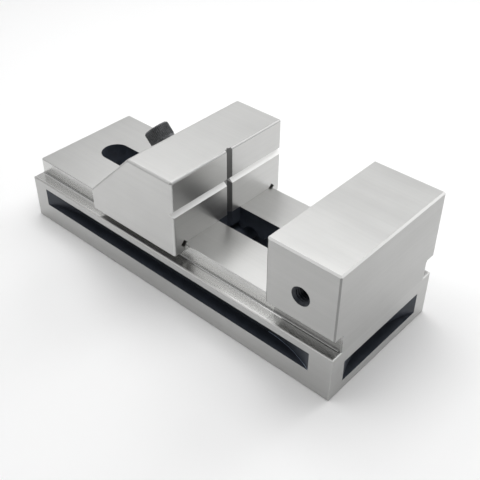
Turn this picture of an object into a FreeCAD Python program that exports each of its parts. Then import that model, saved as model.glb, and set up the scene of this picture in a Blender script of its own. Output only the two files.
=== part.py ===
import FreeCAD, Part
import math
import os

# Toolmaker's precision vise, in millimetres.
# X runs along the vise with the fixed jaw at +X, Y runs across it, and Z points up.
# The origin is on the bottom face, below the middle of the body.

# Body block
body_width = 73.0
flange_height = 24.0
neck_inset = 6.1
neck_root_round = 1.1
side_groove_height = 10.2
rail_height = 8.3
jaw_depth = 35.6
fixed_jaw_length = 35.3
left_end_wall = 16.4
body_edge_break = 0.4
rail_edge_break = 0.3
rail_end_break = 1.0
fixed_jaw_edge_break = 0.8
fixed_jaw_front_break = 0.2

# Slot through the body and channel under it
slot_width = 15.1
slot_under_jaw = 9.0
channel_width = 36.0
channel_depth = 20.0
channel_corner_radius = 5.0
channel_past_slot = 4.5
channel_past_jaw_face = 12.0
notch_pitch = 13.3
notches_to_close = 4
notches_to_open = 3
notch_depth = 3.5
notch_clearance = 0.06

# Clamp slots milled into the sides and the end by one disc cutter
slot_cutter_radius = 60.0
side_slot_depth = 6.2
side_slot_height = 9.8
side_slot_above_base = 10.4
side_slot_left_wall = 9.3
side_slot_right_wall = 11.5
end_slot_width = 55.1
end_slot_height = 11.6
end_slot_above_base = 5.3

# Tapped hole for a work stop, in the near side of the fixed jaw
stop_hole_diameter = 6.8
stop_hole_depth = 15.0
stop_hole_mouth_diameter = 9.2
stop_hole_below_top = 20.1
drill_point_angle = 118.0

# Movable jaw
movable_jaw_length = 56.6
movable_jaw_top_length = 27.6
slope_angle = 45.0
skirt_height = 4.9
tongue_length = 48.9
tongue_rear_length = 22.0
jaw_edge_round = 1.3
jaw_foot_break = 0.7
jaw_face_break = 0.15
vee_width = 3.7
horizontal_vee_below_top = 17.0
relief_width = 3.0
relief_past_corner = 1.3

# Running clearances
rail_top_clearance = 0.02
rail_side_clearance = 0.03
tongue_side_clearance = 0.05
tongue_end_clearance = 0.25
closing_gap = 0.02
keeper_clearance = 0.05
tongue_over_nut = 0.8
nut_drop_clearance = 0.2
screw_thread_clearance = 0.06
screw_hole_clearance = 0.5
washer_bore_clearance = 0.5
nut_end_clearance = 1.0
keeper_side_clearance = 3.0
ball_seat_clearance = 0.02

# Clamping screw with its spherical washer and cross nut
screw_diameter = 8.0
screw_head_diameter = 12.8
screw_head_height = 8.0
screw_head_break = 0.7
screw_head_foot_break = 0.2
screw_tip_break = 1.0
screw_past_nut = 3.1
screw_swing = 10.0
knurl_teeth = 44
knurl_depth = 0.35
knurl_bottom_band = 1.4
socket_width = 6.0
socket_depth = 4.0
washer_diameter = 16.0
washer_stand = 1.2
washer_rim = 0.9
ball_radius = 12.0
nut_diameter = 12.0
nut_end_break = 0.8
nut_mouth_break = 0.8

# Keeper plate under the tongue and its two screws
keeper_length = 18.4
keeper_thickness = 4.5
keeper_edge_break = 0.5
keeper_corner_break = 2.0
keeper_rear_inset = 0.4
keeper_screw_diameter = 4.0
keeper_screw_grip = 6.0
keeper_hole_past_screw = 2.5
keeper_head_diameter = 7.0
keeper_head_height = 4.0
keeper_head_clearance = 0.25
keeper_head_foot_break = 0.1
keeper_recess_depth = 2.5
keeper_screw_spacing = 8.8
keeper_screws_behind_middle = 1.0
keeper_socket_width = 3.0
keeper_socket_depth = 2.0
keeper_hole_clearance = 0.25

# Heights
rail_top_z = flange_height + rail_height
jaw_top_z = rail_top_z + jaw_depth
jaw_under_z = flange_height + side_groove_height
saddle_z = rail_top_z + rail_top_clearance
skirt_bottom_z = rail_top_z - skirt_height
keeper_top_z = channel_depth - keeper_clearance
keeper_bottom_z = keeper_top_z - keeper_thickness

# Half widths
half_width = body_width / 2
neck_half_width = half_width - neck_inset
channel_half_width = channel_width / 2
slot_half_width = slot_width / 2
tongue_half_width = slot_half_width - tongue_side_clearance

# Places along the vise
opening_travel = notches_to_open * notch_pitch
closing_travel = notches_to_close * notch_pitch
slot_under_open_top = opening_travel + tongue_end_clearance + tongue_length + closing_travel + closing_gap
body_length = left_end_wall + slot_under_open_top + fixed_jaw_length
left_end_x = -body_length / 2
right_end_x = body_length / 2
fixed_face_x = right_end_x - fixed_jaw_length
slot_left_x = left_end_x + left_end_wall
slot_right_x = fixed_face_x + slot_under_jaw
channel_left_x = slot_left_x - channel_past_slot
channel_right_x = fixed_face_x + channel_past_jaw_face
jaw_front_x = fixed_face_x - closing_gap - closing_travel
jaw_rear_x = jaw_front_x - movable_jaw_length
jaw_top_rear_x = jaw_front_x - movable_jaw_top_length
tongue_rear_x = jaw_front_x - tongue_length
tongue_step_x = tongue_rear_x + tongue_rear_length

# Slope at the back of the movable jaw, and the screw's axis square to it
slope = math.radians(slope_angle)
slope_run = movable_jaw_length - movable_jaw_top_length
slope_bottom_z = jaw_top_z - slope_run * math.tan(slope)
slope_middle = FreeCAD.Vector(jaw_top_rear_x - slope_run / 2, 0, (jaw_top_z + slope_bottom_z) / 2)
screw_up = FreeCAD.Vector(-math.sin(slope), 0, math.cos(slope))
screw_seat = slope_middle + screw_up * washer_stand

# Pivot of the ball seat: the washer's ball face meets its rim there
washer_radius = washer_diameter / 2
rim_height = washer_stand - washer_rim
pivot_above_slope = rim_height + math.sqrt(ball_radius ** 2 - washer_radius ** 2)
pivot = slope_middle + screw_up * pivot_above_slope

# Cross nut, drawn up into a notch or let down clear of the channel's ceiling
nut_radius = nut_diameter / 2
notch_radius = nut_radius + notch_clearance
notch_centre_z = channel_depth + notch_depth - notch_radius
nut_lowered_z = channel_depth - nut_drop_clearance - nut_radius

# Distance under which two points are one, and how far a cutting solid runs past the face it opens
same_point = 0.00001
overcut = 1.0


def on_screw_axis(height):
    """Point of the screw's axis at a height above the base."""
    return slope_middle - screw_up * ((slope_middle.z - height) / screw_up.z)


nut_lowered = on_screw_axis(nut_lowered_z)
nut_seated = on_screw_axis(notch_centre_z)
screw_length = (screw_seat - nut_lowered).Length + screw_past_nut
tongue_front_z = channel_depth + notch_depth + tongue_over_nut


def place(plane, u, v, w):
    """Point with coordinates u and v in a plane and w along its normal."""
    if plane == "xy":
        return FreeCAD.Vector(u, v, w)
    if plane == "xz":
        return FreeCAD.Vector(u, w, v)
    return FreeCAD.Vector(w, u, v)


def prism(plane, corners, low, high):
    """Solid with an outline of sharp, bevelled or rounded corners, from low to high across its plane.

    A corner is (u, v), or (u, v, "bevel", size) or (u, v, "round", radius).
    """
    points = [place(plane, corner[0], corner[1], low) for corner in corners]
    edges = []
    last = None
    first = None
    for index, corner in enumerate(corners):
        point = points[index]
        back = (points[index - 1] - point).normalize()
        ahead = (points[(index + 1) % len(points)] - point).normalize()
        start = point
        end = point
        cut = None
        if len(corner) == 4 and corner[2] == "bevel":
            start = point + back * corner[3]
            end = point + ahead * corner[3]
            cut = Part.LineSegment(start, end).toShape()
        if len(corner) == 4 and corner[2] == "round":
            half_turn = back.getAngle(ahead) / 2
            start = point + back * (corner[3] / math.tan(half_turn))
            end = point + ahead * (corner[3] / math.tan(half_turn))
            inward = (back + ahead).normalize()
            middle = point + inward * (corner[3] / math.sin(half_turn) - corner[3])
            cut = Part.Arc(start, middle, end).toShape()
        if last is None:
            first = start
        elif last.distanceToPoint(start) > same_point:
            edges.append(Part.LineSegment(last, start).toShape())
        if cut is not None:
            edges.append(cut)
        last = end
    if last.distanceToPoint(first) > same_point:
        edges.append(Part.LineSegment(last, first).toShape())
    face = Part.Face(Part.Wire(edges))
    return face.extrude(place(plane, 0, 0, high - low))


def rectangle(low_u, low_v, high_u, high_v, treatment="sharp", size=0.0):
    """Corners of a rectangle, all with one treatment."""
    corners = [(low_u, low_v), (high_u, low_v), (high_u, high_v), (low_u, high_v)]
    if treatment == "sharp":
        return corners
    return [(u, v, treatment, size) for u, v in corners]


def rod(start, direction, radius, length):
    """Cylinder from a point along a direction."""
    return Part.makeCylinder(radius, length, start, direction)


def bevelled_rod(start, direction, radius, length, low_bevel, high_bevel):
    """Cylinder whose two end edges are bevelled at 45 degrees."""
    axis = FreeCAD.Vector(direction).normalize()
    low = start + axis * low_bevel
    high = start + axis * (length - high_bevel)
    solid = rod(low, axis, radius, length - low_bevel - high_bevel)
    if low_bevel > 0:
        solid = solid.fuse(Part.makeCone(radius - low_bevel, radius, low_bevel, start, axis))
    if high_bevel > 0:
        solid = solid.fuse(Part.makeCone(radius, radius - high_bevel, high_bevel, high, axis))
    return solid.removeSplitter()


def hexagon_prism(centre, direction, side, width, depth):
    """Six-sided prism from a centre along a direction, one corner towards side, width across its flats."""
    corner_radius = width / math.sqrt(3)
    across = direction.cross(side).normalize()
    points = []
    for index in range(6):
        turn = math.pi * index / 3
        reach = side * math.cos(turn) + across * math.sin(turn)
        points.append(centre + reach * corner_radius)
    points.append(points[0])
    face = Part.Face(Part.makePolygon(points))
    return face.extrude(direction * depth)


def round_ended_bar(left_x, right_x, bar_half_width, low_z, high_z):
    """Upright plate along X whose two ends are half round."""
    first_x = left_x + bar_half_width
    last_x = right_x - bar_half_width
    bar = prism("xy", rectangle(first_x, -bar_half_width, last_x, bar_half_width), low_z, high_z)
    for centre_x in (first_x, last_x):
        low = FreeCAD.Vector(centre_x, 0, low_z)
        bar = bar.fuse(rod(low, FreeCAD.Vector(0, 0, 1), bar_half_width, high_z - low_z))
    return bar.removeSplitter()


def body_base():
    """Lower block with its edges broken all round."""
    plan = rectangle(left_end_x, -half_width, right_end_x, half_width, "round", body_edge_break)
    side = rectangle(left_end_x, 0, right_end_x, flange_height, "bevel", body_edge_break)
    across = rectangle(-half_width, 0, half_width, flange_height, "bevel", body_edge_break)
    block = prism("xy", plan, 0, flange_height)
    block = block.common(prism("xz", side, -half_width, half_width))
    return block.common(prism("yz", across, left_end_x, right_end_x))


def body_rails():
    """Upper guide, narrower than the base, with a rounded root along each side."""
    root_width = neck_half_width + neck_root_round
    sunk_z = flange_height - body_edge_break
    across = [
        (-root_width, sunk_z),
        (root_width, sunk_z),
        (root_width, flange_height),
        (neck_half_width, flange_height, "round", neck_root_round),
        (neck_half_width, rail_top_z, "bevel", rail_edge_break),
        (-neck_half_width, rail_top_z, "bevel", rail_edge_break),
        (-neck_half_width, flange_height, "round", neck_root_round),
        (-root_width, flange_height),
    ]
    end_bevel = rail_end_break + neck_root_round
    plan = [
        (left_end_x, -root_width, "bevel", end_bevel),
        (right_end_x, -root_width, "bevel", end_bevel),
        (right_end_x, root_width, "bevel", end_bevel),
        (left_end_x, root_width, "bevel", end_bevel),
    ]
    side = [
        (left_end_x + body_edge_break, sunk_z),
        (right_end_x, sunk_z),
        (right_end_x, rail_top_z),
        (left_end_x, rail_top_z, "bevel", body_edge_break),
        (left_end_x, flange_height),
    ]
    guide = prism("yz", across, left_end_x, right_end_x)
    guide = guide.common(prism("xy", plan, sunk_z, rail_top_z))
    return guide.common(prism("xz", side, -root_width, root_width))


def fixed_jaw_block():
    """Fixed jaw on its neck, with broken edges and a rounded root under each overhang."""
    across = [
        (-neck_half_width, flange_height),
        (neck_half_width, flange_height),
        (neck_half_width, jaw_under_z, "round", neck_root_round),
        (half_width, jaw_under_z, "bevel", body_edge_break),
        (half_width, jaw_top_z, "bevel", fixed_jaw_edge_break),
        (-half_width, jaw_top_z, "bevel", fixed_jaw_edge_break),
        (-half_width, jaw_under_z, "bevel", body_edge_break),
        (-neck_half_width, jaw_under_z, "round", neck_root_round),
    ]
    plan = rectangle(fixed_face_x, -half_width, right_end_x, half_width, "round", fixed_jaw_edge_break)
    side = [
        (fixed_face_x, flange_height),
        (right_end_x, flange_height),
        (right_end_x, jaw_top_z, "bevel", fixed_jaw_edge_break),
        (fixed_face_x, jaw_top_z, "bevel", fixed_jaw_front_break),
    ]
    jaw = prism("yz", across, fixed_face_x, right_end_x)
    jaw = jaw.common(prism("xy", plan, flange_height, jaw_top_z))
    return jaw.common(prism("xz", side, -half_width, half_width))


def jaw_slot():
    """Slot along the rails for the tongue, half round at its left end and run in under the fixed jaw."""
    return round_ended_bar(slot_left_x, slot_right_x, slot_half_width, channel_depth - overcut, rail_top_z)


def slot_open_top():
    """The slot again, up through the rails' top as far as the face of the fixed jaw."""
    low_z = rail_top_z - overcut
    high_z = rail_top_z + overcut
    above = round_ended_bar(slot_left_x, slot_right_x, slot_half_width, low_z, high_z)
    plan = rectangle(slot_left_x, -slot_half_width, fixed_face_x, slot_half_width)
    return above.common(prism("xy", plan, low_z, high_z))


def nut_notch(shift):
    """Round-bottomed notch that the cross nut is drawn into along the screw's axis."""
    centre = nut_seated + FreeCAD.Vector(shift, -channel_half_width, 0)
    notch = rod(centre, FreeCAD.Vector(0, 1, 0), notch_radius, channel_width)
    wide = screw_up.cross(FreeCAD.Vector(0, 1, 0)) * notch_radius
    below = centre + nut_lowered - nut_seated
    corners = [(point.x, point.z) for point in (centre + wide, centre - wide, below - wide, below + wide)]
    return notch.fuse(prism("xz", corners, -channel_half_width, channel_half_width))


def underside_channel():
    """Channel under the body, with a row of notches across its ceiling."""
    plan = rectangle(channel_left_x, -channel_half_width, channel_right_x, channel_half_width,
                     "round", channel_corner_radius)
    channel = prism("xy", plan, -overcut, channel_depth)
    for index in range(-notches_to_open, notches_to_close + 1):
        channel = channel.fuse(nut_notch(index * notch_pitch))
    return channel


def side_clamp_slot(side):
    """Clamp slot along one side, its ends following the disc cutter."""
    floor_y = half_width - side_slot_depth
    low_y = min(side * half_width, side * floor_y)
    high_y = max(side * half_width, side * floor_y)
    low_z = side_slot_above_base
    high_z = low_z + side_slot_height
    run_out = math.sqrt(slot_cutter_radius ** 2 - (slot_cutter_radius - side_slot_depth) ** 2)
    mouth_left = left_end_x + side_slot_left_wall
    mouth_right = right_end_x - side_slot_right_wall
    slot = prism("xy", rectangle(mouth_left + run_out, low_y, mouth_right - run_out, high_y), low_z, high_z)
    reach = prism("xy", rectangle(mouth_left, low_y, mouth_right, high_y), low_z, high_z)
    up = FreeCAD.Vector(0, 0, 1)
    for centre_x in (mouth_left + run_out, mouth_right - run_out):
        centre = FreeCAD.Vector(centre_x, side * (floor_y + slot_cutter_radius), low_z)
        disc = rod(centre, up, slot_cutter_radius, side_slot_height)
        slot = slot.fuse(disc.common(reach))
    return slot.removeSplitter()


def end_clamp_slot():
    """Clamp slot in the end under the fixed jaw: one plunge of the disc cutter."""
    half_mouth = end_slot_width / 2
    centre_x = right_end_x + math.sqrt(slot_cutter_radius ** 2 - half_mouth ** 2)
    centre = FreeCAD.Vector(centre_x, 0, end_slot_above_base)
    return rod(centre, FreeCAD.Vector(0, 0, 1), slot_cutter_radius, end_slot_height)


def stop_hole():
    """Blind hole for a work stop's thread, with a countersunk mouth and a drill point."""
    into = FreeCAD.Vector(0, 1, 0)
    mouth = FreeCAD.Vector(right_end_x - fixed_jaw_length / 2, -half_width, jaw_top_z - stop_hole_below_top)
    radius = stop_hole_diameter / 2
    mouth_radius = stop_hole_mouth_diameter / 2
    point_length = radius / math.tan(math.radians(drill_point_angle / 2))
    hole = rod(mouth, into, radius, stop_hole_depth)
    hole = hole.fuse(Part.makeCone(mouth_radius, radius, mouth_radius - radius, mouth, into))
    return hole.fuse(Part.makeCone(radius, 0, point_length, mouth + into * stop_hole_depth, into))


def vise_body():
    """Body: base, guide rails and fixed jaw, ground from one block."""
    body = body_base().fuse([body_rails(), fixed_jaw_block()]).removeSplitter()
    body = body.cut(jaw_slot())
    body = body.cut(slot_open_top())
    body = body.cut(underside_channel())
    for side in (-1, 1):
        body = body.cut(side_clamp_slot(side))
    body = body.cut(end_clamp_slot())
    return body.cut(stop_hole())


def jaw_outline(face_break, foot_break):
    """Side view of the movable jaw, with its level edges broken or sharp."""
    return [
        (jaw_front_x, skirt_bottom_z, "bevel", foot_break),
        (jaw_front_x, jaw_top_z, "bevel", face_break),
        (jaw_top_rear_x, jaw_top_z),
        (jaw_rear_x, slope_bottom_z, "bevel", face_break),
        (jaw_rear_x, skirt_bottom_z, "bevel", foot_break),
    ]


def jaw_saddle():
    """Movable jaw without its tongue: sloped back, broken edges and two skirts astride the rails."""
    sharp = [corner[:2] for corner in jaw_outline(0, 0)]
    block = prism("xz", sharp, -half_width, half_width)
    side_edges = [edge for edge in block.Edges
                  if all(abs(abs(vertex.Y) - half_width) < same_point for vertex in edge.Vertexes)]
    block = block.makeFillet(jaw_edge_round, side_edges)
    block = block.common(prism("xz", jaw_outline(jaw_face_break, jaw_foot_break), -half_width, half_width))
    gap_half_width = neck_half_width + rail_side_clearance
    plan = rectangle(jaw_rear_x - overcut, -gap_half_width, jaw_front_x + overcut, gap_half_width)
    block = block.cut(prism("xy", plan, skirt_bottom_z - overcut, saddle_z))
    for side in (-1, 1):
        block = block.cut(corner_relief(side * gap_half_width, side))
    return block


def corner_relief(corner_y, side):
    """Diagonal groove that relieves one inner corner of the saddle."""
    along = FreeCAD.Vector(0, side, 1).normalize()
    wide = FreeCAD.Vector(0, -side, 1).normalize()
    corner = FreeCAD.Vector(jaw_rear_x - overcut, corner_y, saddle_z)
    start = corner - along * relief_past_corner - wide * (relief_width / 2)
    far = start + along * (2 * relief_past_corner)
    points = [start, far, far + wide * relief_width, start + wide * relief_width, start]
    face = Part.Face(Part.makePolygon(points))
    return face.extrude(FreeCAD.Vector(movable_jaw_length + 2 * overcut, 0, 0))


def jaw_tongue():
    """Tongue in the slot: shallow over the cross nut, and down to the keeper plate behind it."""
    top_z = saddle_z + skirt_height
    round_middle_x = tongue_rear_x + tongue_half_width
    plan = rectangle(round_middle_x, -tongue_half_width, jaw_front_x, tongue_half_width)
    shallow = prism("xy", plan, tongue_front_z, top_z)
    deep = round_ended_bar(tongue_rear_x, jaw_front_x, tongue_half_width, keeper_top_z, top_z)
    plan = rectangle(tongue_rear_x, -tongue_half_width, tongue_step_x, tongue_half_width)
    return shallow.fuse(deep.common(prism("xy", plan, keeper_top_z, top_z)))


def screw_passage():
    """Hole for the screw, opened backwards so that the screw can swing on its ball seat."""
    radius = (screw_diameter / 2) + screw_hole_clearance
    length = (pivot - nut_lowered).Length
    upright = math.radians(slope_angle - screw_swing)
    steep = FreeCAD.Vector(math.sin(upright), 0, -math.cos(upright))
    passage = rod(pivot, screw_up * -1, radius, length).fuse(rod(pivot, steep, radius, length))
    low_y = FreeCAD.Vector(0, -radius, 0)
    points = [pivot, pivot - screw_up * length, pivot + steep * length, pivot]
    wedge = Part.Face(Part.makePolygon([point + low_y for point in points]))
    return passage.fuse(wedge.extrude(FreeCAD.Vector(0, 2 * radius, 0)))


def vee_grooves():
    """Square grooves for round work: one across the jaw's face and one down it."""
    depth = vee_width / 2
    front_x = jaw_front_x + overcut
    reach = depth + overcut
    middle_z = jaw_top_z - horizontal_vee_below_top
    level = [(front_x, middle_z - reach), (front_x, middle_z + reach), (jaw_front_x - depth, middle_z)]
    upright = [(front_x, -reach), (front_x, reach), (jaw_front_x - depth, 0)]
    groove = prism("xz", level, -half_width - overcut, half_width + overcut)
    return groove.fuse(prism("xy", upright, tongue_front_z - overcut, jaw_top_z + overcut))


def keeper_screw_places():
    """Points on the keeper plate's top where its screws pass, rear one first."""
    middle_x = tongue_rear_x + keeper_rear_inset + keeper_length / 2 - keeper_screws_behind_middle
    rear = FreeCAD.Vector(middle_x - keeper_screw_spacing / 2, 0, keeper_top_z)
    front = FreeCAD.Vector(middle_x + keeper_screw_spacing / 2, 0, keeper_top_z)
    return [rear, front]


def movable_jaw():
    """Movable jaw: saddle and tongue in one piece, with its grooves, ball seat and holes."""
    jaw = jaw_saddle().fuse(jaw_tongue()).removeSplitter()
    jaw = jaw.cut(vee_grooves())
    jaw = jaw.cut(screw_passage())
    jaw = jaw.cut(Part.makeSphere(ball_radius + ball_seat_clearance, pivot))
    up = FreeCAD.Vector(0, 0, 1)
    hole_depth = keeper_screw_grip + keeper_hole_past_screw
    for point in keeper_screw_places():
        jaw = jaw.cut(rod(point, up, keeper_screw_diameter / 2, hole_depth))
    return jaw


def knurled_outline(centre, direction, side, radius):
    """Closed wire of a straight knurl: one shallow tooth after another round a circle."""
    across = direction.cross(side).normalize()
    points = []
    for index in range(2 * knurl_teeth):
        turn = math.pi * index / knurl_teeth
        reach = radius if index % 2 == 0 else radius - knurl_depth
        points.append(centre + (side * math.cos(turn) + across * math.sin(turn)) * reach)
    points.append(points[0])
    return Part.makePolygon(points)


def clamp_screw():
    """Socket-head cap screw with a knurled head."""
    across_y = FreeCAD.Vector(0, 1, 0)
    head_radius = screw_head_diameter / 2
    plain = bevelled_rod(screw_seat, screw_up, head_radius, screw_head_height, screw_head_foot_break,
                         screw_head_break)
    knurl_start = screw_seat + screw_up * knurl_bottom_band
    knurl = Part.Face(knurled_outline(knurl_start, screw_up, across_y, head_radius))
    knurl = knurl.extrude(screw_up * (screw_head_height - knurl_bottom_band))
    band = rod(screw_seat, screw_up, head_radius - knurl_depth / 2, knurl_bottom_band)
    head = plain.common(knurl.fuse(band))
    socket_floor = screw_seat + screw_up * (screw_head_height - socket_depth)
    head = head.cut(hexagon_prism(socket_floor, screw_up, across_y, socket_width, socket_depth))
    tip = screw_seat - screw_up * screw_length
    shank = bevelled_rod(tip, screw_up, screw_diameter / 2, screw_length, screw_tip_break, 0)
    return head.fuse(shank).removeSplitter()


def spherical_washer():
    """Washer under the screw's head: flat on top, ball-shaped below."""
    low = pivot - screw_up * ball_radius
    height = (screw_seat - low).Length
    blank = rod(low, screw_up, washer_radius, height)
    washer = blank.common(Part.makeSphere(ball_radius, pivot))
    return washer.cut(rod(low, screw_up, screw_diameter / 2 + washer_bore_clearance, height))


def cross_nut():
    """Round bar across the channel, its threaded hole along the screw's axis, let down from its notch."""
    across_y = FreeCAD.Vector(0, 1, 0)
    half_length = channel_half_width - nut_end_clearance
    start = nut_lowered - across_y * half_length
    bar = bevelled_rod(start, across_y, nut_radius, 2 * half_length, nut_end_break, nut_end_break)
    hole_radius = screw_diameter / 2 + screw_thread_clearance
    bar = bar.cut(rod(nut_lowered - screw_up * nut_diameter, screw_up, hole_radius, 2 * nut_diameter))
    mouth_radius = hole_radius + nut_mouth_break
    for direction in (screw_up, screw_up * -1):
        mouth = nut_lowered + direction * nut_radius
        cone = Part.makeCone(mouth_radius, hole_radius, nut_mouth_break, mouth, direction * -1)
        bar = bar.cut(cone)
    return bar


def keeper_plate():
    """Plate under the ledges of the slot, which holds the movable jaw down."""
    rear_x = tongue_rear_x + keeper_rear_inset
    front_x = rear_x + keeper_length
    half_plate = channel_half_width - keeper_side_clearance
    plan = rectangle(rear_x, -half_plate, front_x, half_plate, "bevel", keeper_corner_break)
    across = rectangle(-half_plate, keeper_bottom_z, half_plate, keeper_top_z, "bevel", keeper_edge_break)
    plate = prism("xy", plan, keeper_bottom_z, keeper_top_z)
    plate = plate.common(prism("yz", across, rear_x, front_x))
    up = FreeCAD.Vector(0, 0, 1)
    for point in keeper_screw_places():
        low = FreeCAD.Vector(point.x, 0, keeper_bottom_z)
        plate = plate.cut(rod(low, up, keeper_screw_diameter / 2 + keeper_hole_clearance, keeper_thickness))
        head_radius = keeper_head_diameter / 2 + keeper_head_clearance
        plate = plate.cut(rod(low, up, head_radius, keeper_recess_depth))
    return plate


def keeper_screw(point):
    """Small socket-head cap screw that holds the keeper plate to the tongue."""
    up = FreeCAD.Vector(0, 0, 1)
    seat = FreeCAD.Vector(point.x, 0, keeper_bottom_z + keeper_recess_depth)
    low = seat - up * keeper_head_height
    across_y = FreeCAD.Vector(0, 1, 0)
    head = bevelled_rod(low, up, keeper_head_diameter / 2, keeper_head_height, keeper_edge_break,
                        keeper_head_foot_break)
    head = head.cut(hexagon_prism(low, up, across_y, keeper_socket_width, keeper_socket_depth))
    length = keeper_thickness - keeper_recess_depth + keeper_screw_grip
    shank = bevelled_rod(seat, up, keeper_screw_diameter / 2, length, 0, keeper_edge_break)
    return head.fuse(shank).removeSplitter()


def save(name, shape):
    """Write one piece to its own file and print what it is."""
    shape.exportStep("parts/" + name + ".step")
    box = shape.BoundBox
    print(name, "valid", shape.isValid(), "solids", len(shape.Solids), "volume", round(shape.Volume, 1),
          "x", round(box.XMin, 2), round(box.XMax, 2), "y", round(box.YMin, 2), round(box.YMax, 2),
          "z", round(box.ZMin, 2), round(box.ZMax, 2))


def main():
    """Build and save every piece."""
    os.makedirs("parts", exist_ok=True)
    save("vise_body", vise_body())
    save("movable_jaw", movable_jaw())
    save("clamp_screw", clamp_screw())
    save("spherical_washer", spherical_washer())
    save("cross_nut", cross_nut())
    save("keeper_plate", keeper_plate())
    rear, front = keeper_screw_places()
    save("keeper_screw_rear", keeper_screw(rear))
    save("keeper_screw_front", keeper_screw(front))
    draw = (nut_lowered - nut_seated).Length
    print("body length", round(body_length, 3), "jaw front", round(jaw_front_x, 3))
    print("travel", -opening_travel, closing_travel, "draw", round(draw, 4))
    print("pivot", [round(value, 4) for value in pivot])
    print("screw length", round(screw_length, 3), "nut", [round(value, 4) for value in nut_lowered])


main()
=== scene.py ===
import bpy
import math
from mathutils import Matrix, Vector


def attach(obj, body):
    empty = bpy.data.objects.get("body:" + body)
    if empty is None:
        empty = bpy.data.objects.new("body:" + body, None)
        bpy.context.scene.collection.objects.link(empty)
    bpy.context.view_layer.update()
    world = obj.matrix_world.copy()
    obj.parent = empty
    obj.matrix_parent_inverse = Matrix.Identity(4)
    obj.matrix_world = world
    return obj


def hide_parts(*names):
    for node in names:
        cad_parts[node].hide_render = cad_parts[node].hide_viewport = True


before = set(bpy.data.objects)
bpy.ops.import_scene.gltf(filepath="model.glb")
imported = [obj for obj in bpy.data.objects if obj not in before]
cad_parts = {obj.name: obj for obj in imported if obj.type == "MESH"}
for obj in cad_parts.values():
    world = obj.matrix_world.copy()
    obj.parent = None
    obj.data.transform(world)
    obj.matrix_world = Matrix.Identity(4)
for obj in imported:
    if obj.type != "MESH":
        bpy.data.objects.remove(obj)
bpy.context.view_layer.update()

MM = 0.001

# Camera at the photograph's angle: angles in radians, lens and sensor in millimetres, nearest in metres
camera_azimuth = 0.729744
camera_elevation = 0.671651
camera_roll = 0.005268
camera_distance = 363.68 * MM
camera_target = Vector((22.776, -8.664, 29.2)) * MM
camera_lens = 59.315
camera_sensor = 36.0
camera_nearest = 0.01

# Body, in millimetres
body_half_length = 96.985
body_half_width = 36.5
neck_half_width = 30.4
flange_top = 24.0
rail_top = 32.3
jaw_face = 61.685
jaw_under = 34.2
jaw_top = 67.9

# Slot between the rails and the channel under it, in millimetres
slot_half_width = 7.55
slot_left = -80.585
slot_right = 70.685
channel_half_width = 18.0
channel_left = -85.085
channel_right = 73.685
channel_top = 23.7

# Clamp slots in the sides and in the right end, in millimetres
side_slot_left = -87.685
side_slot_right = 85.485
side_slot_low = 10.4
side_slot_high = 20.2
side_slot_floor = 30.3
run_out = 26.6
# Height of the band of painted glint along the low corner of the side slots' run-outs
corner_line = 0.35
end_slot_low = 5.3
end_slot_high = 16.9
end_slot_floor = 88.0
end_slot_half_width = 27.55

# Tapped hole for a work stop in the near side of the fixed jaw, in millimetres
stop_hole_x = 79.335
stop_hole_z = 47.8
stop_hole_radius = 3.4
stop_hole_mouth = 4.6
stop_hole_depth = 15.0
stop_hole_reach = 6.0
stop_thread_lead = 0.5
stop_thread_run_out = 1.0
stop_thread_height = 0.4
stop_thread_crest = 0.08
stop_thread_foot = 0.45

# Movable jaw, in millimetres
jaw_front = 8.465
tongue_length = 48.9
tongue_mask_past_front = 0.1
tongue_mask_past_rail = 0.4
vee_half_width = 1.85
washer_stand = 1.2
passage_radius = 8.6
passage_length = 60.0

# Margins of the masks, in millimetres: past or short of a face, and in open air
skin = 0.02
margin = 1.0

# Limits of a surface's normal: for walls, for end faces, between two axes, and turned at a rounded edge
wall_limit = 0.5
end_limit = 0.6
slant_low = 0.05
slant_high = 0.3
edge_turn_low = 0.01
edge_turn_high = 0.2
bevel_samples = 6

# Clamping screw, in millimetres
screw_seat = Vector((-34.4835, 0.0, 54.2485))
screw_up = Vector((-1.0, 0.0, 1.0)).normalized()
head_radius = 6.4
head_height = 8.0
head_break = 0.7
head_foot_break = 0.2
knurl_teeth = 44
knurl_depth = 0.35
knurl_start = 1.4
knurl_lead = 0.1
knurl_steepness = 2.0
knurl_root = 0.5
facets_per_tooth = 6
socket_width = 6.0
socket_depth = 4.0
socket_mouth_break = 0.3
socket_floor_dip = 0.3
shank_radius = 4.0
shank_length = 60.303
thread_length = 28.0
thread_pitch = 1.25
thread_depth = 0.7
thread_steepness = 1.35
thread_root = 0.2
thread_fade_turns = 2
thread_steps_per_turn = 10
stop_thread_steps_per_turn = 40
tip_break = 1.0

# Ground steel: share of light that it mirrors, how rough it is, how far both vary, and the scales per metre
# of its lines, smears and clouds
steel_lightness = 0.6
steel_blue = 0.985
steel_roughness = 0.33
steel_anisotropy = 0.6
line_stretch = 0.015
fine_lines = 4200.0
broad_lines = 560.0
smears = 60.0
smear_blend = 0.15
steel_clouds = 30.0
line_contrast = 0.01
cloud_contrast = 0.012
fine_roughness = 0.02
smear_roughness = 0.025
edge_round = 0.08
# Painted shade on rounded edges, as a factor on lightness, dimming their highlights
edge_shade = 0.6
edge_roughness = 0.2
line_bump = 0.12
line_bump_depth = 0.004
broad_line_share = 0.5
polished_bump = 0.08

# Painted shade and painted highlight on ground surfaces, as factors on lightness, and what is taken off their
# roughness
# Painted shade on walls: the fixed jaw's sides, the base's sides and the movable jaw's sides
jaw_side_shade = 0.77
base_side_shade = 0.81
movable_side_shade = 0.95
# Painted shade in the upright groove, a painted highlight on the level groove's lower wall, and painted shade
# on the jaw's top front edge
groove_shade = 0.32
groove_wall_highlight = 1.3
front_edge_shade = 0.72
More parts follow.
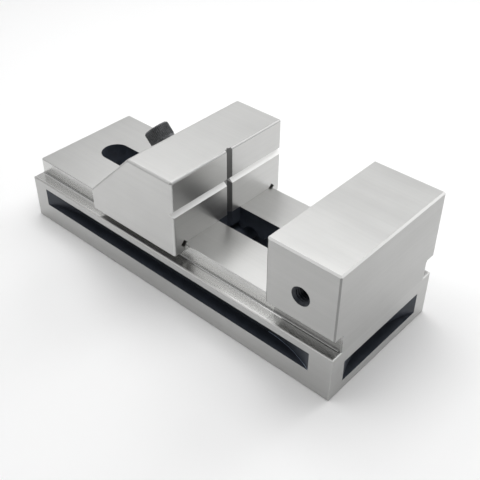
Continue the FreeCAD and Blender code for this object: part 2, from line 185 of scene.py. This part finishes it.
# Painted shade on vertical corners, at the rails' roots, on undersides, under the fixed jaw's overhang and in
# the stop hole
corner_shade = 0.88
jaw_corner_shade = 0.65
root_shade = 0.6
underside_shade = 0.6
sheltered_shade = 0.84
hole_shade = 0.5
flange_polish = 0.1
round_edge_dulling = -0.35

# Dull blackening, with red and blue as factors on its green
dull_clouds = 240.0
dull_grit = 3000.0
dull_darkest = 0.043
dull_lightest = 0.057
dull_red = 0.85
dull_blue = 1.3
dull_smoothest = 0.34
dull_roughest = 0.46
dull_specular = 0.4
dull_bump = 0.3
dull_bump_depth = 0.02
dull_edge = 0.08
# Painted glint along the low corner of the side slots' run-outs, added to the blackening
glint_line = 0.5
# Painted light deep in the slot between the rails: a gain on the blackening, full below this height and
# fading out at the rails' top
painted_light_height = 20.0
painted_light_gain = 1.05

# Oiled black oxide, with red and green as factors on its blue
oxide_clouds = 260.0
oxide_grit = 3600.0
oxide_edge_round = 0.12
oxide_darkest = 0.065
oxide_lightest = 0.115
speckle_darkest = 0.4
speckle_lightest = 1.7
oxide_edge = 0.08
oxide_red = 0.93
oxide_green = 0.96
oxide_metallic = 0.55
oxide_smoothest = 0.26
oxide_roughest = 0.36
oxide_grit_roughness = 0.06
oxide_bump = 0.35
oxide_bump_depth = 0.012

# Floor, with its sizes in metres, and the fade of the horizon, in degrees
floor_size = 12.0
floor_drop = 0.00005
floor_lightness = 0.94
floor_contrast = 0.004
floor_clouds = 3.0
far_floor_start = 0.4
far_floor_end = 1.1
horizon_low = 6
horizon_high = 16

# Radiance of the studio: dark behind the photographer, light walls behind the vise and panels over it
room_radiance = 0.04
back_wall_radiance = 1.84
right_wall_radiance = 0.68
left_corner_radiance = 0.704
left_wall_radiance = 0.64
near_corner_radiance = 1.4
top_panel_radiance = 2.95
left_panel_radiance = 1.65
back_panel_radiance = 3.0
far_panel_radiance = 0.2
side_panel_radiance = 0.55

# Height of the panels over the floor, in metres
panel_height = 0.6


def held(value):
    """The value, held between 0 and 1."""
    return min(1.0, max(0.0, value))


class Nodes:
    """Short calls for a shader's nodes."""

    def __init__(self, tree):
        self.tree = tree
        self.tree.nodes.clear()

    def add(self, kind, **settings):
        node = self.tree.nodes.new(kind)
        for name, value in settings.items():
            setattr(node, name, value)
        return node

    def link(self, value, socket):
        """Set a socket to a number or vector, or link it to another socket."""
        if isinstance(value, bpy.types.NodeSocket):
            self.tree.links.new(value, socket)
        else:
            socket.default_value = value

    def math(self, operation, first, second=0.0, third=0.0):
        node = self.add("ShaderNodeMath", operation=operation)
        for socket, value in zip(node.inputs, (first, second, third)):
            self.link(value, socket)
        return node.outputs[0]

    def sum(self, *values):
        result = values[0]
        for value in values[1:]:
            result = self.math("ADD", result, value)
        return result

    def product(self, *values):
        result = values[0]
        for value in values[1:]:
            result = self.math("MULTIPLY", result, value)
        return result

    def largest(self, *values):
        result = values[0]
        for value in values[1:]:
            result = self.math("MAXIMUM", result, value)
        return result

    def size(self, value):
        return self.math("ABSOLUTE", value)

    def below(self, value, limit):
        return self.math("LESS_THAN", value, limit)

    def above(self, value, limit):
        return self.math("GREATER_THAN", value, limit)

    def vector(self, operation, first, second=(0.0, 0.0, 0.0), result=0):
        node = self.add("ShaderNodeVectorMath", operation=operation)
        self.link(first, node.inputs[0])
        self.link(second, node.inputs[1])
        return node.outputs[result]

    def dot(self, first, second):
        return self.vector("DOT_PRODUCT", first, second, 1)

    def parts(self, vector):
        node = self.add("ShaderNodeSeparateXYZ")
        self.link(vector, node.inputs[0])
        return node.outputs[0], node.outputs[1], node.outputs[2]

    def join(self, x, y, z):
        node = self.add("ShaderNodeCombineXYZ")
        for socket, value in zip(node.inputs, (x, y, z)):
            self.link(value, socket)
        return node.outputs[0]

    def spread(self, value, low, high, out_low=0.0, out_high=1.0):
        """Map a value smoothly from one range to another, held at the ends."""
        node = self.add("ShaderNodeMapRange", interpolation_type="SMOOTHSTEP")
        for socket, number in zip(node.inputs, (value, low, high, out_low, out_high)):
            self.link(number, socket)
        return node.outputs[0]

    def noise(self, vector, scale, detail=3.0, roughness=0.55):
        node = self.add("ShaderNodeTexNoise")
        self.link(vector, node.inputs["Vector"])
        node.inputs["Scale"].default_value = scale
        node.inputs["Detail"].default_value = detail
        node.inputs["Roughness"].default_value = roughness
        return node.outputs["Fac"]

    def vary(self, noise, low, high, reach=0.2):
        """Turn a noise, which mostly stays within a reach of 0.5, into a value from low to high."""
        return self.spread(noise, 0.5 - reach, 0.5 + reach, low, high)

    def choose(self, factor, first, second):
        """The first vector where the factor is 0, and the second where it is 1."""
        node = self.add("ShaderNodeMix", data_type="VECTOR")
        self.link(factor, node.inputs[0])
        self.link(first, node.inputs[4])
        self.link(second, node.inputs[5])
        return node.outputs[1]

    def bump(self, height, strength, distance, normal):
        """Normal roughened by a height, with the distance in millimetres."""
        node = self.add("ShaderNodeBump")
        node.inputs["Strength"].default_value = strength
        node.inputs["Distance"].default_value = distance * MM
        self.link(height, node.inputs["Height"])
        self.link(normal, node.inputs["Normal"])
        return node.outputs[0]

    def soft_edges(self, radius):
        """Normal with every sharp edge rounded, and a mask of those edges."""
        node = self.add("ShaderNodeBevel", samples=bevel_samples)
        node.inputs["Radius"].default_value = radius * MM
        true_normal = self.add("ShaderNodeNewGeometry").outputs["True Normal"]
        turned = self.math("SUBTRACT", 1.0, self.dot(node.outputs[0], true_normal))
        return node.outputs[0], self.spread(turned, edge_turn_low, edge_turn_high)

    def shader(self, colour, metallic, roughness, normal, specular=0.5, anisotropic=0.0, tangent=None):
        node = self.add("ShaderNodeBsdfPrincipled")
        node.inputs["Metallic"].default_value = metallic
        node.inputs["Specular IOR Level"].default_value = specular
        node.inputs["Anisotropic"].default_value = anisotropic
        if tangent is not None:
            self.link(tangent, node.inputs["Tangent"])
        self.link(colour, node.inputs["Base Color"])
        self.link(roughness, node.inputs["Roughness"])
        self.link(normal, node.inputs["Normal"])
        return node.outputs[0]

    def mix(self, factor, first, second):
        node = self.add("ShaderNodeMixShader")
        self.link(factor, node.inputs[0])
        self.link(first, node.inputs[1])
        self.link(second, node.inputs[2])
        return node.outputs[0]

    def finish(self, surface):
        output = self.add("ShaderNodeOutputMaterial")
        self.link(surface, output.inputs["Surface"])

    def upright(self, facing_z):
        """1 on walls, given the upward part of a surface's normal, else 0."""
        return self.below(self.size(facing_z), wall_limit)

    def facing_down(self, facing_z):
        """1 on undersides, given the upward part of a surface's normal, else 0."""
        return self.below(facing_z, -wall_limit)

    def slanted(self, first, second):
        """1 where a surface faces between two axes, given its normal's parts along them, else 0."""
        lesser = self.math("MINIMUM", self.size(first), self.size(second))
        return self.spread(lesser, slant_low, slant_high)

    def tone(self, changes):
        """Factor on lightness: 1, changed to each given tone where its mask is 1."""
        result = 1.0
        for mask, value in changes:
            result = self.product(result, self.math("MULTIPLY_ADD", mask, value - 1.0, 1.0))
        return result

    def inside_box(self, position, low, high):
        """1 inside a box given in millimetres, else 0."""
        centre = [(a + b) / 2 * MM for a, b in zip(low, high)]
        half = [(b - a) / 2 * MM for a, b in zip(low, high)]
        offset = self.vector("ABSOLUTE", self.vector("SUBTRACT", position, centre))
        return self.product(*[self.below(part, reach) for part, reach in zip(self.parts(offset), half)])

    def inside_rod(self, position, start, direction, radius, length):
        """1 inside a cylinder given in millimetres, else 0."""
        offset = self.vector("SUBTRACT", position, [value * MM for value in start])
        along = self.dot(offset, direction)
        squared = self.math("SUBTRACT", self.dot(offset, offset), self.product(along, along))
        near = self.below(squared, (radius * MM) ** 2)
        return self.product(near, self.above(along, 0.0), self.below(along, length * MM))


def new_material(name):
    """Empty material and the calls for its nodes."""
    material = bpy.data.materials.new(name)
    material.use_nodes = True
    return material, Nodes(material.node_tree)


def grinding(nodes, position, normal):
    """Fine lines, broad lines, a partly stretched position for smears, and the direction across the lines.

    The lines run along X on tops and sides, and along Y on the end faces.
    """
    x, y, z = nodes.parts(position)
    facing_end = nodes.above(nodes.size(nodes.parts(normal)[0]), end_limit)
    lengthways = nodes.join(nodes.product(x, line_stretch), y, z)
    crossways = nodes.join(x, nodes.product(y, line_stretch), z)
    along = nodes.choose(facing_end, lengthways, crossways)
    line = nodes.choose(facing_end, (1.0, 0.0, 0.0), (0.0, 1.0, 0.0))
    world_normal = nodes.add("ShaderNodeNewGeometry").outputs["Normal"]
    across = nodes.vector("NORMALIZE", nodes.vector("CROSS_PRODUCT", world_normal, line))
    fine = nodes.noise(along, fine_lines, detail=4.0, roughness=0.7)
    broad = nodes.noise(along, broad_lines, detail=3.0, roughness=0.6)
    return fine, broad, nodes.choose(smear_blend, along, position), across


def ground_steel(nodes, position, normal, tone, polish):
    """Bright ground steel with fine lines, a faint cloudiness, and rounded edges that are rougher and painted
    darker, a painted shade that dims their highlights.

    The tone is a factor on its lightness that carries painted shade and highlights, and the polish is taken
    off its roughness and flattens its lines.
    """
    fine, broad, stretched, across = grinding(nodes, position, normal)
    cloud = nodes.noise(position, steel_clouds, detail=3.0, roughness=0.6)
    smear = nodes.noise(stretched, smears, detail=4.0, roughness=0.65)
    rounded, edge = nodes.soft_edges(edge_round)
    line_tone = nodes.vary(broad, -line_contrast, line_contrast)
    cloud_tone = nodes.vary(cloud, -cloud_contrast, cloud_contrast)
    lightness = nodes.sum(line_tone, cloud_tone, steel_lightness)
    # Painted shade on the rounded edges, and the tone's painted shade and highlights
    lightness = nodes.product(lightness, nodes.spread(edge, 0.0, 1.0, 1.0, edge_shade), tone)
    colour = nodes.join(lightness, lightness, nodes.product(lightness, steel_blue))
    roughness = nodes.sum(nodes.vary(fine, -fine_roughness, fine_roughness, reach=0.25), steel_roughness,
                          nodes.vary(smear, -smear_roughness, smear_roughness),
                          nodes.product(edge, edge_roughness))
    roughness = nodes.math("SUBTRACT", roughness, polish)
    height = nodes.sum(fine, nodes.product(broad, broad_line_share))
    height = nodes.product(height, nodes.spread(polish, 0.0, flange_polish, 1.0, polished_bump))
    bumped = nodes.bump(height, line_bump, line_bump_depth, rounded)
    return nodes.shader(colour, 1.0, roughness, bumped, anisotropic=steel_anisotropy, tangent=across)


def dull_blackening(nodes, position, glint):
    """Dull blackening of what isn't ground: slightly blue and cloudy, paler at worn edges, and with a painted
    glint line where the glint mask is 1.

    It is also painted lighter deep in the slot between the rails, as painted light, and painted darker in the
    stop hole, as painted shade.
    """
    cloud = nodes.noise(position, dull_clouds, detail=4.0, roughness=0.6)
    grit = nodes.noise(position, dull_grit, detail=3.0, roughness=0.7)
    rounded, edge = nodes.soft_edges(edge_round)
    # Paler worn edges, plus the painted glint line where its mask is 1
    rubbed_and_glint = nodes.sum(nodes.product(edge, dull_edge), nodes.product(glint, glint_line))
    in_slot = nodes.inside_box(position, (channel_left - margin, -channel_half_width - margin, -margin),
                               (channel_right + margin, channel_half_width + margin, rail_top + margin))
    height = nodes.parts(position)[2]
    # Painted light: the blackening is painted lighter deep in the slot between the rails
    depth = nodes.product(nodes.spread(height, painted_light_height * MM, rail_top * MM, painted_light_gain, 0.0), in_slot)
    in_hole = nodes.inside_box(position, (stop_hole_x - stop_hole_reach, -body_half_width, jaw_under),
                               (stop_hole_x + stop_hole_reach, 0.0, jaw_top))
    # Cloudy blackening, with the painted light in the slot and painted shade in the stop hole
    mottled_and_painted = nodes.product(nodes.vary(cloud, dull_darkest, dull_lightest), nodes.sum(depth, 1.0),
                            nodes.tone([(in_hole, hole_shade)]))
    value = nodes.sum(mottled_and_painted, rubbed_and_glint)
    colour = nodes.join(nodes.product(value, dull_red), value, nodes.product(value, dull_blue))
    roughness = nodes.vary(cloud, dull_smoothest, dull_roughest)
    bumped = nodes.bump(grit, dull_bump, dull_bump_depth, rounded)
    return nodes.shader(colour, 0.0, roughness, bumped, specular=dull_specular)


def black_oxide():
    """Oiled black oxide on hardened screws: speckled dark grey metal, paler at its sharp edges."""
    material, nodes = new_material("black_oxide")
    position = nodes.add("ShaderNodeTexCoord").outputs["Object"]
    cloud = nodes.noise(position, oxide_clouds, detail=4.0, roughness=0.6)
    grit = nodes.noise(position, oxide_grit, detail=3.0, roughness=0.7)
    rounded, edge = nodes.soft_edges(oxide_edge_round)
    speckle = nodes.product(nodes.vary(cloud, oxide_darkest, oxide_lightest),
                            nodes.vary(grit, speckle_darkest, speckle_lightest))
    value = nodes.sum(speckle, nodes.product(edge, oxide_edge))
    colour = nodes.join(nodes.product(value, oxide_red), nodes.product(value, oxide_green), value)
    roughness = nodes.sum(nodes.vary(cloud, oxide_smoothest, oxide_roughest),
                          nodes.vary(grit, 0.0, oxide_grit_roughness))
    bumped = nodes.bump(grit, oxide_bump, oxide_bump_depth, rounded)
    nodes.finish(nodes.shader(colour, oxide_metallic, roughness, bumped))
    return material


def all_blackened(name):
    """Material of a part that is dull and black all over."""
    material, nodes = new_material(name)
    position = nodes.add("ShaderNodeTexCoord").outputs["Object"]
    nodes.finish(dull_blackening(nodes, position, 0.0))
    return material


def part_blackened(name, masks):
    """Material of a ground part, with its tones of painted shade and highlight, polish, dull blackening and
    painted glint line where the masks say so.
    """
    material, nodes = new_material(name)
    texture = nodes.add("ShaderNodeTexCoord")
    position = texture.outputs["Object"]
    normal = texture.outputs["Normal"]
    tone, polish, blackened, glint = masks(nodes, position, normal)
    bright = ground_steel(nodes, position, normal, tone, polish)
    black = dull_blackening(nodes, position, glint)
    nodes.finish(nodes.mix(blackened, bright, black))
    return material


def body_blackening(nodes, position):
    """1 where the body isn't ground: in its clamp slots, middle slot, channel and stop hole, else 0."""
    near_face = body_half_width - skin
    masks = [
        nodes.inside_box(position, (end_slot_floor, -end_slot_half_width - skin, end_slot_low - skin),
                         (body_half_length - skin, end_slot_half_width + skin, end_slot_high + skin)),
        nodes.inside_box(position, (slot_left - skin, -slot_half_width - skin, skin),
                         (slot_right + skin, slot_half_width + skin, rail_top - skin)),
        nodes.inside_box(position, (channel_left - skin, -channel_half_width - skin, skin),
                         (channel_right + skin, channel_half_width + skin, channel_top)),
        nodes.inside_rod(position, (stop_hole_x, -near_face, stop_hole_z), (0, 1, 0),
                         stop_hole_mouth + skin, 2 * stop_hole_depth),
    ]
    for low_y, high_y in ((-near_face, -side_slot_floor + skin), (side_slot_floor - skin, near_face)):
        masks.append(nodes.inside_box(position, (side_slot_left - skin, low_y, side_slot_low - skin),
                                      (side_slot_right + skin, high_y, side_slot_high + skin)))
    return nodes.largest(*masks)


def body_masks(nodes, position, normal):
    """Tone, polish, blackening and glint line of the body.

    Walls, corners, undersides, the rails' roots and what lies under the fixed jaw's overhang are painted
    darker, as painted shade. The flanges and the rails' sides are polished. The slots in the sides have a
    painted glint line along the low edge of their run-out.
    """
    facing_x, facing_y, facing_z = nodes.parts(normal)
    upright = nodes.upright(facing_z)
    corner = nodes.slanted(facing_x, facing_y)
    across, height = nodes.parts(position)[1:]
    near_face = body_half_width - skin
    # Band of the painted glint along the low corner of the side slots' run-outs
    line = nodes.inside_box(position, (side_slot_right - run_out, -near_face, side_slot_low - skin),
                            (side_slot_right, near_face, side_slot_low + corner_line))
    by_jaw = nodes.inside_box(position, (jaw_face + skin, -body_half_width - margin, flange_top - skin),
                              (body_half_length + margin, body_half_width + margin, jaw_top + margin))
    jaw_side = nodes.product(by_jaw, upright)
    base_side = nodes.product(nodes.below(height, (flange_top - skin) * MM), upright)
    sheltered = nodes.inside_box(position, (jaw_face, -near_face, flange_top - skin),
                                 (body_half_length - margin, near_face, jaw_under - skin))
    outside_neck = nodes.above(nodes.size(across), (neck_half_width - skin) * MM)
    over_flange = nodes.inside_box(
        position, (-body_half_length - margin, -body_half_width + margin, flange_top - skin),
        (body_half_length + margin, body_half_width - margin, rail_top - skin))
    beside_rail = nodes.product(outside_neck, over_flange)
    # Painted shade on walls, corners, undersides, under the fixed jaw's overhang and at the rails' roots
    tone = nodes.tone([
        (jaw_side, jaw_side_shade),
        (base_side, base_side_shade),
        (corner, corner_shade),
        (nodes.facing_down(facing_z), underside_shade),
        (nodes.product(jaw_side, corner), jaw_corner_shade),
        (sheltered, sheltered_shade),
        (nodes.product(beside_rail, nodes.slanted(facing_y, facing_z)), root_shade),
    ])
    polish = nodes.product(beside_rail, flange_polish)
    return tone, polish, body_blackening(nodes, position), nodes.product(line, upright)


def jaw_masks(nodes, position, normal):
    """Tone, polish, blackening and glint line of the movable jaw.

    Its tongue and the screw's passage are blackened, and its rounded long edges are dulled. Its sides,
    undersides, upright groove and top front edge are painted darker, as painted shade, and the lower wall of
    its level groove is painted lighter, as a painted highlight.
    """
    passage_start = screw_seat - screw_up * washer_stand - screw_up * skin
    tongue = nodes.inside_box(position, (jaw_front - tongue_length - margin, -slot_half_width, 0.0),
                              (jaw_front + tongue_mask_past_front, slot_half_width,
                               rail_top + tongue_mask_past_rail))
    passage = nodes.inside_rod(position, passage_start, -screw_up, passage_radius, passage_length)
    groove = nodes.inside_box(position, (jaw_front - 2 * vee_half_width, -vee_half_width + skin, 0.0),
                              (jaw_front - skin, vee_half_width - skin, jaw_top - skin))
    facing_x, facing_y, facing_z = nodes.parts(normal)
    up_and_front = nodes.product(nodes.slanted(facing_x, facing_z), nodes.above(facing_x, 0.0),
                                 nodes.above(facing_z, 0.0))
    top_edge = nodes.product(up_and_front, nodes.above(nodes.parts(position)[2], (jaw_top - margin) * MM))
    groove_wall = nodes.math("SUBTRACT", up_and_front, top_edge)
    # Painted shade on the sides, the upright groove, the top front edge and the undersides, and a painted
    # highlight on the level groove's lower wall
    tone = nodes.tone([
        (nodes.upright(facing_z), movable_side_shade),
        (groove, groove_shade),
        (top_edge, front_edge_shade),
        (groove_wall, groove_wall_highlight),
        (nodes.facing_down(facing_z), underside_shade),
    ])
    polish = nodes.product(nodes.slanted(facing_y, facing_z), round_edge_dulling)
    return tone, polish, nodes.largest(tongue, passage), 0.0


def add_piece(name, points, faces, body, material, replaced=None):
    """Mesh piece from points in millimetres, riding on a body."""
    mesh = bpy.data.meshes.new(name)
    mesh.from_pydata([Vector(point) * MM for point in points], [], faces)
    mesh.validate()
    mesh.materials.append(material)
    piece = bpy.data.objects.new(name, mesh)
    bpy.context.scene.collection.objects.link(piece)
    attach(piece, body)
    if replaced is not None:
        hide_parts(replaced)
    return piece


def turned_rings(origin, axis, side, rings):
    """Points on rings round an axis; a ring is its distance along it and its radius at each turn."""
    across = axis.cross(side)
    points = []
    for distance, radii in rings:
        for index, radius in enumerate(radii):
            turn = 2 * math.pi * index / len(radii)
            outward = side * math.cos(turn) + across * math.sin(turn)
            points.append(origin + axis * distance + outward * radius)
    return points


def ring_faces(first, count, ring_count):
    """Quads between rings of one size that follow each other in the list of points."""
    faces = []
    for ring in range(ring_count - 1):
        low = first + ring * count
        for index in range(count):
            ahead = (index + 1) % count
            faces.append((low + index, low + ahead, low + count + ahead, low + count + index))
    return faces


def ridge_height(share, steepness, root):
    """Height from 0 to 1 across a ridge: flat crest at shares 0 and 1, flat root at 0.5, sloped between."""
    return held(abs(2 * share - 1) * steepness - root)


def knurl_radius(share):
    """Radius of the knurled head at a share of a tooth."""
    return head_radius - knurl_depth * (1 - ridge_height(share, knurl_steepness, knurl_root))


def thread_radius(distance, turn_share):
    """Radius of the thread at a distance above the screw's tip and a share of a turn."""
    height = ridge_height((distance / thread_pitch - turn_share) % 1.0, thread_steepness, thread_root)
    fade = held((thread_length - distance) / (thread_fade_turns * thread_pitch))
    radius = shank_radius - thread_depth * (1 - height) * fade
    return min(radius, shank_radius - tip_break + distance)


def screw_head_rings(count):
    """Rings of the screw's head, from its foot up, in over its top and down into the socket."""
    knurl = [knurl_radius((index % facets_per_tooth) / facets_per_tooth) for index in range(count)]
    hexagon = []
    for index in range(count):
        turn = (2 * math.pi * index / count) % (math.pi / 3) - math.pi / 6
        hexagon.append(socket_width / 2 / math.cos(turn))
    band = head_radius - knurl_depth / 2
    socket_floor = head_height - socket_depth

    def plain(radius):
        return [radius] * count

    return [
        (0.0, plain(band - head_foot_break)),
        (head_foot_break, plain(band)),
        (knurl_start, plain(band)),
        (knurl_start + knurl_lead, knurl),
        (head_height - head_break, knurl),
        (head_height - head_break / 2, [min(radius, head_radius - head_break / 2) for radius in knurl]),
        (head_height, plain(head_radius - head_break)),
        (head_height, [radius + socket_mouth_break for radius in hexagon]),
        (head_height - socket_mouth_break, hexagon),
        (socket_floor, hexagon),
        (socket_floor - socket_floor_dip, plain(socket_width / 4)),
    ]


def screw_shank_rings(count):
    """Rings of the screw's shank, from its tip up the thread to the head's seat."""
    rings = []
    steps = int(thread_length / thread_pitch * thread_steps_per_turn)
    for step in range(steps, 0, -1):
        distance = thread_length * (1 - step / steps)
        radii = [thread_radius(distance, index / count) for index in range(count)]
        rings.append((distance - shank_length, radii))
    rings.append((thread_length - shank_length, [shank_radius] * count))
    rings.append((0.0, [shank_radius] * count))
    return rings


def add_clamp_screw(material):
    """Socket-head cap screw: knurled head with a hexagon socket, plain shank and rolled thread."""
    side = Vector((0.0, 1.0, 0.0))
    head_count = facets_per_tooth * knurl_teeth
    rings = screw_head_rings(head_count)
    points = turned_rings(screw_seat, screw_up, side, rings)
    faces = ring_faces(0, head_count, len(rings))
    faces.append(tuple(range(len(points) - head_count, len(points))))

    shank_count = knurl_teeth
    rings = screw_shank_rings(shank_count)
    shank_first = len(points)
    first_smooth = len(faces)
    points += turned_rings(screw_seat, screw_up, side, rings)
    faces += ring_faces(shank_first, shank_count, len(rings))
    past_smooth = len(faces)
    faces.append(tuple(reversed(range(shank_first, shank_first + shank_count))))

    last = len(points) - shank_count
    for index in range(shank_count):
        ahead = (index + 1) % shank_count
        outer = [(index * facets_per_tooth + step) % head_count for step in range(facets_per_tooth + 1)]
        faces.append(tuple([last + index, last + ahead] + list(reversed(outer))))

    piece = add_piece("clamp_screw_full", points, faces, "screw", material,
                      replaced="clamp_screw")
    for face in piece.data.polygons:
        face.use_smooth = first_smooth <= face.index < past_smooth


def add_stop_thread(material):
    """Thread ridge winding round the wall of the stop hole."""
    axis = Vector((0.0, 1.0, 0.0))
    side = Vector((1.0, 0.0, 0.0))
    across = axis.cross(side)
    start = Vector((stop_hole_x, -body_half_width, stop_hole_z))
    in_wall = stop_hole_radius + skin / 2
    crest = stop_hole_radius - stop_thread_height
    section = [(in_wall, -stop_thread_foot), (crest, -stop_thread_crest), (crest, stop_thread_crest),
               (in_wall, stop_thread_foot)]
    first_along = stop_hole_mouth - stop_hole_radius + stop_thread_lead
    turns = (stop_hole_depth - stop_thread_run_out - first_along) / thread_pitch
    count = int(turns * stop_thread_steps_per_turn)
    points = []
    for step in range(count):
        turn = 2 * math.pi * step / stop_thread_steps_per_turn
        outward = side * math.cos(turn) + across * math.sin(turn)
        along = first_along + thread_pitch * step / stop_thread_steps_per_turn
        for radius, shift in section:
            points.append(start + axis * (along + shift) + outward * radius)
    size = len(section)
    faces = ring_faces(0, size, count)
    faces.append(tuple(reversed(range(size))))
    faces.append(tuple(range(len(points) - size, len(points))))
    add_piece("stop_hole_thread", points, faces, "base", material)


def seen_directly(nodes):
    """1 for what the camera sees, metal mirrors or glass lets through, and 0 for light on matt surfaces."""
    path = nodes.add("ShaderNodeLightPath")
    return nodes.largest(path.outputs["Is Camera Ray"], path.outputs["Is Glossy Ray"],
                         path.outputs["Is Transmission Ray"])


def add_floor():
    """Pale matt floor that keeps the shadow, and looks white far from the vise."""
    bpy.ops.mesh.primitive_plane_add(size=floor_size, location=(0.0, 0.0, -floor_drop))
    floor = bpy.context.object
    floor.name = "studio_floor"
    material, nodes = new_material("pale_floor")
    position = nodes.add("ShaderNodeTexCoord").outputs["Object"]
    tone = nodes.vary(nodes.noise(position, floor_clouds), floor_lightness - floor_contrast,
                      floor_lightness + floor_contrast)
    diffuse = nodes.add("ShaderNodeBsdfDiffuse")
    nodes.link(nodes.join(tone, tone, tone), diffuse.inputs["Color"])
    distance = nodes.vector("LENGTH", position, result=1)
    far = nodes.spread(distance, far_floor_start, far_floor_end)
    white = nodes.add("ShaderNodeEmission")
    far_seen = nodes.product(far, seen_directly(nodes))
    nodes.finish(nodes.mix(far_seen, diffuse.outputs[0], white.outputs[0]))
    floor.data.materials.append(material)


def wall_glow(nodes, direction, azimuth, elevation, half_width, half_height, side_fade, up_fade, radiance):
    """Light from a part of the walls: even up to its half width and height, in degrees, then fading out."""
    x, y, z = nodes.parts(direction)
    level = nodes.vector("NORMALIZE", nodes.join(x, y, 0.0))
    middle = (math.cos(math.radians(azimuth)), math.sin(math.radians(azimuth)), 0.0)
    turn = nodes.math("ARCCOSINE", nodes.dot(level, middle))
    climb = nodes.size(nodes.math("SUBTRACT", nodes.math("ARCSINE", z), math.radians(elevation)))
    across = nodes.spread(turn, math.radians(half_width), math.radians(half_width + side_fade), 1.0, 0.0)
    upward = nodes.spread(climb, math.radians(half_height), math.radians(half_height + up_fade), 1.0, 0.0)
    return nodes.product(across, upward, radiance)


def add_world():
    """Dim room with glowing walls and corners, and a white horizon that lights no matt surface."""
    world = bpy.data.worlds.new("studio")
    bpy.context.scene.world = world
    world.use_nodes = True
    nodes = Nodes(world.node_tree)
    direction = nodes.add("ShaderNodeTexCoord").outputs["Generated"]
    back_wall = wall_glow(nodes, direction, azimuth=72, elevation=22.5, half_width=16, half_height=0,
                          side_fade=30, up_fade=22.5, radiance=back_wall_radiance)
    right_wall = wall_glow(nodes, direction, azimuth=0, elevation=11, half_width=30, half_height=11,
                           side_fade=30, up_fade=22.5, radiance=right_wall_radiance)
    left_corner = wall_glow(nodes, direction, azimuth=127, elevation=34, half_width=7, half_height=11,
                            side_fade=35, up_fade=22.5, radiance=left_corner_radiance)
    left_wall = wall_glow(nodes, direction, azimuth=180, elevation=45, half_width=0, half_height=0,
                          side_fade=45, up_fade=22.5, radiance=left_wall_radiance)
    near_corner = wall_glow(nodes, direction, azimuth=226, elevation=44, half_width=0, half_height=0,
                            side_fade=46, up_fade=28, radiance=near_corner_radiance)
    brightness = nodes.sum(room_radiance, back_wall, right_wall, left_corner, left_wall, near_corner)
    climb = nodes.size(nodes.math("ARCSINE", nodes.parts(direction)[2]))
    horizon = nodes.spread(climb, math.radians(horizon_low), math.radians(horizon_high), 1.0, 0.0)
    brightness = nodes.largest(brightness, nodes.product(horizon, seen_directly(nodes)))
    background = nodes.add("ShaderNodeBackground")
    background.inputs["Color"].default_value = (1.0, 1.0, 1.0, 1.0)
    nodes.link(brightness, background.inputs["Strength"])
    output = nodes.add("ShaderNodeOutputWorld")
    nodes.link(background.outputs[0], output.inputs["Surface"])


def add_softbox(name, x, y, width, depth, radiance):
    """Rectangular light over the vise, facing down; its radiance is what a mirror would show."""
    data = bpy.data.lights.new(name, "AREA")
    data.shape = "RECTANGLE"
    data.size = width
    data.size_y = depth
    data.energy = radiance * math.pi * width * depth
    light = bpy.data.objects.new(name, data)
    light.location = (x, y, panel_height)
    bpy.context.scene.collection.objects.link(light)


def add_camera():
    """Camera placed by its angles round the vise."""
    level = Vector((math.cos(camera_azimuth), math.sin(camera_azimuth), 0.0))
    outward = Vector((math.sin(camera_azimuth), -math.cos(camera_azimuth), 0.0))
    back = outward * math.cos(camera_elevation) + Vector((0.0, 0.0, math.sin(camera_elevation)))
    upward = back.cross(level)
    right = level * math.cos(camera_roll) + upward * math.sin(camera_roll)
    top = upward * math.cos(camera_roll) - level * math.sin(camera_roll)
    data = bpy.data.cameras.new("camera")
    data.sensor_width = camera_sensor
    data.lens = camera_lens
    data.clip_start = camera_nearest
    camera = bpy.data.objects.new("camera", data)
    place = Matrix((right, top, back)).transposed().to_4x4()
    place.translation = camera_target + back * camera_distance
    camera.matrix_world = place
    bpy.context.scene.collection.objects.link(camera)
    bpy.context.scene.camera = camera


def paint(node, material):
    """Give a node of the source its material."""
    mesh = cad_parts[node].data
    mesh.materials.clear()
    mesh.materials.append(material)


paint("vise_body", part_blackened("ground_body", body_masks))
paint("movable_jaw", part_blackened("ground_jaw", jaw_masks))
oxide = black_oxide()
for fastener in ("clamp_screw", "spherical_washer", "keeper_screw_rear", "keeper_screw_front"):
    paint(fastener, oxide)
dull_black = all_blackened("dull_black")
for hidden_part in ("cross_nut", "keeper_plate"):
    paint(hidden_part, dull_black)
add_clamp_screw(oxide)
add_stop_thread(dull_black)

add_floor()
add_world()
add_softbox("top_panel", x=0.0, y=0.0, width=0.5, depth=0.5, radiance=top_panel_radiance)
add_softbox("left_panel", x=-0.3, y=0.2, width=0.6, depth=0.3, radiance=left_panel_radiance)
add_softbox("back_panel", x=0.15, y=0.65, width=0.3, depth=0.6, radiance=back_panel_radiance)
add_softbox("far_panel", x=-0.75, y=0.65, width=0.3, depth=0.6, radiance=far_panel_radiance)
add_softbox("side_panel", x=-0.55, y=0.0, width=0.5, depth=0.5, radiance=side_panel_radiance)
add_camera()

bpy.context.scene.view_settings.view_transform = "Standard"
